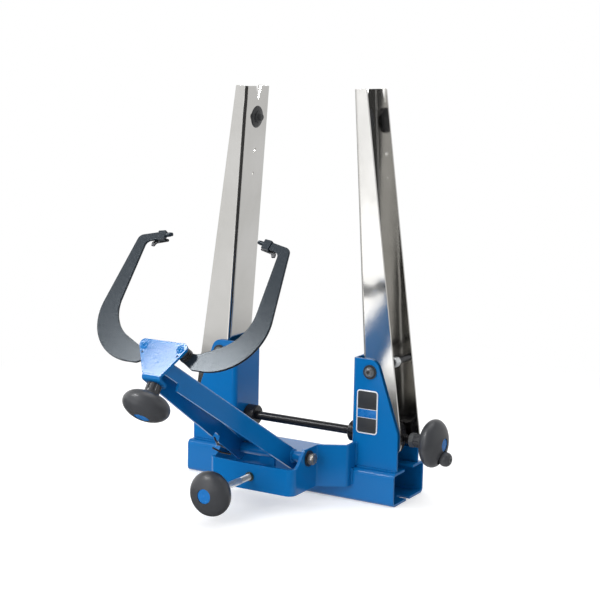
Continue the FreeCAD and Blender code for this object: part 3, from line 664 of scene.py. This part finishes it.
def circlePath(x, y, z, radius):
    angles = [math.radians(15 * k) for k in range(25)]
    return [(x, y + radius * math.cos(angle), z + radius * math.sin(angle)) for angle in angles]


def addWelds(name, body, paths):
    mesh = runTree(weldBead, seamMesh(paths), {
        "Radius": weldLook["radius"], "Spacing": weldLook["spacing"],
        "Seed": weldLook["seed"], "Finish": finishes["blue_paint"]})
    mesh.shade_smooth()
    putOn(newPiece(name, mesh), body, "blue_paint")


weldBead = makeWeldTree(weldLook)
addWelds("welds.base", "base", mirroredPaths(baseSeams))
addWelds("welds.arm", "arm", mirroredPaths([circlePath(**armSeam)]))
print("welds laid")


# plain name plate on the right tower, in millimetres

plateLook = {
    "centre": (111.0, -32.5, 116.5), "width": 30.0, "height": 57.0, "corner": 4.5, "thick": 0.5,
    "border": 1.6, "gap": 0.7, "backSoft": 0.15, "sharp": 40,
    "fields": ((22.8, "black_plastic"), (10.6, "blue_insert"), (19.0, "black_plastic")),
    "fieldThick": 0.25, "fieldSoft": 0.06, "fieldSunk": 0.1, "fieldCorner": 0.3,
}
arcSteps = 8


def roundedPanel(name, centre, width, height, corners, thick, soft):
    # corners: radius at the top and at the bottom
    shape = bmesh.new()
    ring = []
    turns = ((1, 1, corners[0]), (-1, 1, corners[0]), (-1, -1, corners[1]), (1, -1, corners[1]))
    for quarter, (right, up, radius) in enumerate(turns):
        for k in range(arcSteps + 1):
            angle = math.radians(90 * quarter + 90 / arcSteps * k)
            x = right * (width / 2 - radius) + radius * math.cos(angle)
            z = up * (height / 2 - radius) + radius * math.sin(angle)
            ring.append(shape.verts.new((Vector(centre) + Vector((x, 0, z))) / 1000))
    face = shape.faces.new(ring)
    raised = bmesh.ops.extrude_face_region(shape, geom=[face])["geom"]
    for vert in raised:
        if isinstance(vert, bmesh.types.BMVert):
            vert.co.y -= thick / 1000
    bmesh.ops.remove_doubles(shape, verts=shape.verts, dist=1e-6)
    bmesh.ops.recalc_face_normals(shape, faces=shape.faces)
    piece = pieceFrom(name, name, shape)
    addBevel(piece, soft / 1000)
    freeze(piece)
    smoothAcross(piece, plateLook["sharp"])
    return piece


def makeNamePlate(look):
    x, y, z = look["centre"]
    back = roundedPanel("namePlate.back", look["centre"], look["width"], look["height"],
                        (look["corner"], look["corner"]), look["thick"], look["backSoft"])
    putOn(back, "base", "zinc_steel")
    inner = look["corner"] - look["border"]
    top = z + look["height"] / 2 - look["border"]
    last = len(look["fields"]) - 1
    for k, (height, slot) in enumerate(look["fields"]):
        corners = (inner if k == 0 else look["fieldCorner"],
                   inner if k == last else look["fieldCorner"])
        centre = (x, y - look["thick"] + look["fieldSunk"], top - height / 2)
        field = roundedPanel("namePlate.field" + str(k + 1), centre,
                             look["width"] - 2 * look["border"], height, corners,
                             look["fieldThick"], look["fieldSoft"])
        putOn(field, "base", slot)
        top -= height + look["gap"]


makeNamePlate(plateLook)
print("name plate fixed")


# floor, light and camera

studio = {
    "floor": 0.80, "floorLift": 0.38, "floorRadius": 14.0, "floorDrop": 0.0002,
    "fill": 0.78, "fillShade": 0.55, "fillAcross": (0.1, 0.8),
    "behindLeft": 1.15, "behindRight": 0.68, "behindAcross": (-0.2, 0.3), "farAcross": (-0.3, 0.5),
    "middle": (0, -0.1, 0.25),
    "keyFrom": (-0.50, -0.40, 0.77), "keyAway": 2.3, "keyPower": 6.5, "keySize": 1.2,
    "corePlace": (-1.08, -1.35, 1.67), "coreLooksAt": (0.02, -0.325, 0.22),
    "corePower": 15.0, "coreSize": 0.36,
    "topFrom": (0.1, 0.25, 1.0), "topAway": 2.2, "topPower": 14.0, "topSize": 1.6,
    "frontFrom": (-0.1, -1.0, 0.35), "frontAway": 2.6, "frontPower": 48.0, "frontSize": 1.6,
}
# ramps: from, to, first level, last level; all but paperFade are painted reflections, the levels
# that glossy surfaces mirror
sheenRamps = {
    "paperFade": (0.35, 0.9, 0.0, 1.0),
    "strip": (-0.06, 0.03, 0.84, 1.75), "right": (0.20, 0.34, 1.0, 0.03),
    "near": (-0.85, -0.55, 1.0, 0.07), "paintedTableEdge": (0.10, 0.24, 0.95, 0.40),
    "far": (0.5, 0.9, 0.0, 1.0), "floorSplit": (-0.21, -0.14, 0.0, 1.0),
    "roomSplit": (-0.25, 0.05, 0.0, 1.0), "overhead": (0.35, 0.8, 1.0, 0.35),
}
sideways = (0.894, -0.447, 0)
cameraView = {"place": (0.93725, -1.64618, 0.55734), "yaw": 29.908, "pitch": 9.335,
              "roll": 1.128, "lens": 87.43}


def rampNode(tree, source, ramp, place):
    step = addNode(tree, "MapRange", place, interpolation_type="SMOOTHSTEP",
                   values=dict(zip(("From Min", "From Max", "To Min", "To Max"), ramp)))
    tree.links.new(source, step.inputs["Value"])
    return step.outputs["Result"]


def productNode(tree, first, second, place):
    product = addNode(tree, "Math", place, operation="MULTIPLY")
    tree.links.new(first, product.inputs[0])
    tree.links.new(second, product.inputs[1])
    return product.outputs[0]


def blendNode(tree, first, second, mask, place):
    blend = addNode(tree, "Mix", place, data_type="FLOAT")
    for key, source in ((0, mask), (2, first), (3, second)):
        tree.links.new(source, blend.inputs[key])
    return blend.outputs[0]


def axesFrom(tree, coordinate):
    place = addNode(tree, "TexCoord", (-1600, 500))
    axes = addNode(tree, "SeparateXYZ", (-1400, 500))
    lateral = addNode(tree, "VectorMath", (-1400, 300), operation="DOT_PRODUCT")
    lateral.inputs[1].default_value = sideways
    tree.links.new(place.outputs[coordinate], axes.inputs[0])
    tree.links.new(place.outputs[coordinate], lateral.inputs[0])
    return axes.outputs, lateral.outputs["Value"]


def frontPaintedReflection(tree, lateral):
    # painted reflection: a bright strip far off to the front left, and a dark room to the front
    # right
    strip = rampNode(tree, lateral, sheenRamps["strip"], (-1100, 400))
    right = rampNode(tree, lateral, sheenRamps["right"], (-1100, 200))
    return productNode(tree, strip, right, (-850, 300))


def floorPaintedReflection(tree, look):
    # painted reflection: a pale table top under the stand that ends close in front, which the
    # floor shows to glossy rays only
    axes, lateral = axesFrom(tree, "Object")
    near = rampNode(tree, axes["Y"], sheenRamps["near"], (-1100, 0))
    front = productNode(tree, frontPaintedReflection(tree, lateral), near, (-650, 250))
    paintedTableEdge = rampNode(tree, axes["X"], sheenRamps["paintedTableEdge"], (-1100, -200))
    far = rampNode(tree, axes["Y"], sheenRamps["far"], (-1100, -400))
    farLevels = (*look["farAcross"], look["behindLeft"], look["behindRight"])
    farLevel = rampNode(tree, axes["X"], farLevels, (-1100, -600))
    behind = blendNode(tree, paintedTableEdge, farLevel, far, (-650, -200))
    split = rampNode(tree, axes["Y"], sheenRamps["floorSplit"], (-850, -50))
    return blendNode(tree, front, behind, split, (-450, 250))


def roomPaintedReflection(tree, look):
    # painted reflection: what glossy surfaces mirror of the room, dimmer overhead; it lights
    # nothing else
    axes, lateral = axesFrom(tree, "Generated")
    behindLevels = (*look["behindAcross"], look["behindLeft"], look["behindRight"])
    behind = rampNode(tree, axes["X"], behindLevels, (-850, -100))
    split = rampNode(tree, axes["Y"], sheenRamps["roomSplit"], (-850, -300))
    level = blendNode(tree, frontPaintedReflection(tree, lateral), behind, split, (-450, 0))
    overhead = rampNode(tree, axes["Z"], sheenRamps["overhead"], (-850, -500))
    return productNode(tree, level, overhead, (-250, 0)), lateral


def mixShaders(tree, mask, first, second, place):
    mix = addNode(tree, "MixShader", place)
    for key, source in enumerate((mask, first, second)):
        tree.links.new(source, mix.inputs[key])
    return mix.outputs[0]


def makeFloor(look):
    shape = bmesh.new()
    bmesh.ops.create_circle(shape, cap_ends=True, segments=96, radius=look["floorRadius"])
    floor = pieceFrom("floorSheet", "floorSheet", shape)
    floor.location.z = -look["floorDrop"]
    material, tree, shader = newMaterial("floorPaper", Roughness=0.9, Specular_IOR_Level=0.1,
                                         Base_Color=(look["floor"],) * 3 + (1,))
    path = addNode(tree, "LightPath", (-600, 700)).outputs
    lift = addNode(tree, "Emission", (0, 300), {"Strength": look["floorLift"]})
    white = addNode(tree, "Emission", (0, 450), {"Strength": 1.0})
    # painted reflection: an emission on the floor that only glossy rays see
    sheen = addNode(tree, "Emission", (0, 600))
    lifted = addNode(tree, "AddShader", (200, 200))
    out = tree.nodes["Material Output"]
    out.location = (900, 100)
    middle = addNode(tree, "TexCoord", (-900, -300))
    reach = addNode(tree, "VectorMath", (-700, -300), operation="LENGTH")
    tree.links.new(middle.outputs["Object"], reach.inputs[0])
    tree.links.new(shader.outputs[0], lifted.inputs[0])
    tree.links.new(lift.outputs[0], lifted.inputs[1])
    tree.links.new(floorPaintedReflection(tree, look), sheen.inputs["Strength"])
    # away from the stand the sheet fades to plain white, so that no horizon shows
    fade = rampNode(tree, reach.outputs["Value"], sheenRamps["paperFade"], (-500, -300))
    paper = mixShaders(tree, fade, lifted.outputs[0], white.outputs[0], (350, 300))
    both = mixShaders(tree, path["Is Camera Ray"], shader.outputs[0], paper, (500, 100))
    seen = mixShaders(tree, path["Is Glossy Ray"], both, sheen.outputs[0], (700, 100))
    tree.links.new(seen, out.inputs["Surface"])
    floor.data.materials.append(material)


def makeWorld(look):
    world = bpy.data.worlds.new("studio")
    bpy.context.scene.world = world
    world.use_nodes = True
    tree = world.node_tree
    room = tree.nodes["Background"]
    room.location = (0, 100)
    room.inputs["Color"].default_value = (1, 1, 1, 1)
    out = tree.nodes["World Output"]
    out.location = (700, 0)
    level, lateral = roomPaintedReflection(tree, look)
    tree.links.new(level, room.inputs["Strength"])
    fill = addNode(tree, "Background", (0, -50), {"Color": (1, 1, 1, 1)})
    fillLevels = (*look["fillAcross"], look["fill"], look["fillShade"])
    tree.links.new(rampNode(tree, lateral, fillLevels, (-250, -300)), fill.inputs["Strength"])
    white = addNode(tree, "Background", (0, -200), {"Color": (1, 1, 1, 1), "Strength": 1.0})
    path = addNode(tree, "LightPath", (0, 450)).outputs
    # glossy rays see the painted reflection of the room, all other light comes from the fill
    lit = mixShaders(tree, path["Is Glossy Ray"], fill.outputs[0], room.outputs[0], (250, 0))
    seen = mixShaders(tree, path["Is Camera Ray"], lit, white.outputs[0], (450, 0))
    tree.links.new(seen, out.inputs["Surface"])


def makeSoftbox(name, place, target, size, power, mirrored, lighting=True):
    data = bpy.data.lights.new(name, "AREA")
    data.shape = "SQUARE"
    data.size = size
    data.energy = power
    lamp = newPiece(name, data)
    lamp.location = place
    lamp.rotation_euler = (Vector(place) - Vector(target)).to_track_quat("Z", "Y").to_euler()
    lamp.visible_camera = False
    lamp.visible_glossy = mirrored
    lamp.visible_diffuse = lighting


def makeLamp(name, key, look, mirrored):
    place = Vector(look["middle"]) + Vector(look[key + "From"]).normalized() * look[key + "Away"]
    makeSoftbox(name, place, look["middle"], look[key + "Size"], look[key + "Power"], mirrored)


def makeLamps(look):
    makeLamp("keyLight", "key", look, True)
    makeLamp("topLight", "top", look, True)
    makeLamp("frontLight", "front", look, False)
    # makes highlights only, mainly on the head plate and the calipers; without it they are darker
    makeSoftbox("keyCore", look["corePlace"], look["coreLooksAt"], look["coreSize"],
                look["corePower"], True, False)


def makeCamera(look):
    data = bpy.data.cameras.new("view")
    data.lens = look["lens"]
    data.sensor_width = 36.0
    data.clip_start = 0.05
    data.clip_end = 60.0
    camera = newPiece("view", data)
    yaw = math.radians(look["yaw"])
    pitch = math.radians(look["pitch"])
    roll = math.radians(look["roll"])
    ahead = Vector((-math.sin(yaw) * math.cos(pitch), math.cos(yaw) * math.cos(pitch),
                    -math.sin(pitch)))
    level = Vector((math.cos(yaw), math.sin(yaw), 0))
    upright = level.cross(ahead)
    right = level * math.cos(roll) + upright * math.sin(roll)
    up = upright * math.cos(roll) - level * math.sin(roll)
    turn = Matrix((right, up, -ahead)).transposed().to_4x4()
    camera.matrix_world = Matrix.Translation(look["place"]) @ turn
    bpy.context.scene.camera = camera


makeFloor(studio)
makeWorld(studio)
makeLamps(studio)
makeCamera(cameraView)
bpy.context.scene.view_settings.view_transform = "Standard"
print("studio ready")
